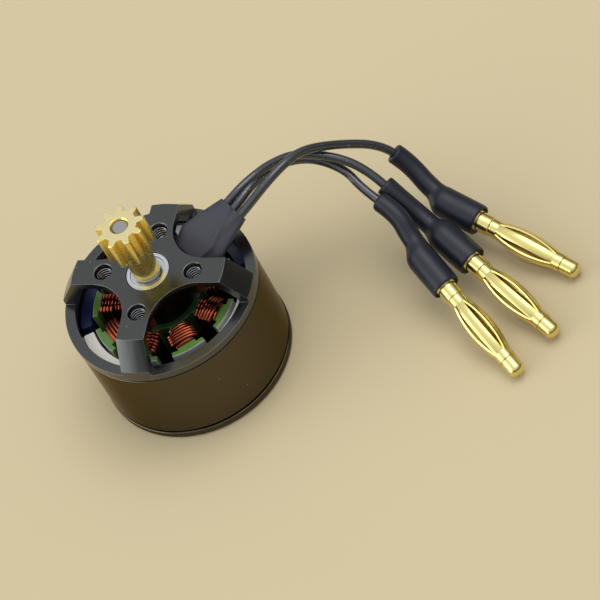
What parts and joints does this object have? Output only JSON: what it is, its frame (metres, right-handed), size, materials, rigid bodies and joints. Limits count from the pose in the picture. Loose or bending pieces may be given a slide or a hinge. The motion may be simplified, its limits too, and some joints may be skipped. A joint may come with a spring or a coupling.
{
  "type": "brushless outrunner motor",
  "caption": "Small brushless outrunner motor with a four-arm front mount, a brass spur pinion and three black phase leads ending in gold bullet plugs.",
  "frame": {"origin": "on the shaft axis, in the plane of the rear bell's flat back", "axes": "+Z along the shaft towards the pinion, +X and +Y along two arms of the front mount, the leads leaving between them"},
  "size_m": [0.0685, 0.0415, 0.0317],
  "materials": {
    "anodised_black": "black anodised, satin",
    "bell_black": "black, semi-gloss",
    "can_black": "black plating, glossy",
    "stator_green": "green insulating coating over laminations",
    "winding_copper": "clear enamel over copper wire",
    "magnet_grey": "nickel plated",
    "shaft_steel": "ground steel",
    "dark_steel": "black oxide steel",
    "bearing_steel": "polished bearing steel",
    "shield_steel": "pressed steel",
    "cage_brass": "pressed brass",
    "pinion_brass": "machined brass",
    "plug_gold": "gold plated, bright",
    "sleeve_black": "heat-shrink, matt",
    "shrink_black": "heat-shrink, soft sheen",
    "lead_black": "silicone rubber, semi-gloss"
  },
  "bodies": {
    "stator": {"front_mount": "anodised_black", "stator_core": "stator_green", "lead_sleeve": "sleeve_black", "phase_tails": "winding_copper", "front_bearing_outer_race": "bearing_steel", "front_bearing_balls": "bearing_steel", "front_bearing_cage": "cage_brass", "front_bearing_shields": "shield_steel", "rear_bearing_outer_race": "bearing_steel", "rear_bearing_balls": "bearing_steel", "rear_bearing_cage": "cage_brass", "rear_bearing_shields": "shield_steel", "coil_1": "winding_copper", "coil_2": "winding_copper", "coil_3": "winding_copper", "coil_4": "winding_copper", "coil_5": "winding_copper", "coil_6": "winding_copper", "coil_7": "winding_copper", "coil_8": "winding_copper", "coil_9": "winding_copper", "lead_1": "lead_black", "heat_shrink_1": "shrink_black", "plug_core_1": "plug_gold", "plug_spring_1": "plug_gold", "lead_2": "lead_black", "heat_shrink_2": "shrink_black", "plug_core_2": "plug_gold", "plug_spring_2": "plug_gold", "lead_3": "lead_black", "heat_shrink_3": "shrink_black", "plug_core_3": "plug_gold", "plug_spring_3": "plug_gold"},
    "rotor": {"rear_bell": "bell_black", "bell_grub_screws": "dark_steel", "flux_ring": "can_black", "shaft": "shaft_steel", "pinion": "pinion_brass", "retaining_clip": "dark_steel", "shim_washer": "shaft_steel", "front_bearing_inner_race": "bearing_steel", "rear_bearing_inner_race": "bearing_steel", "magnet_1": "magnet_grey", "magnet_2": "magnet_grey", "magnet_3": "magnet_grey", "magnet_4": "magnet_grey", "magnet_5": "magnet_grey", "magnet_6": "magnet_grey"}
  },
  "joints": [
    {"name": "rotor_spin", "type": "hinge", "parent": "stator", "child": "rotor", "pos_m": [0, 0, 0], "axis": [0, 0, 1], "continuous": true}
  ]
}
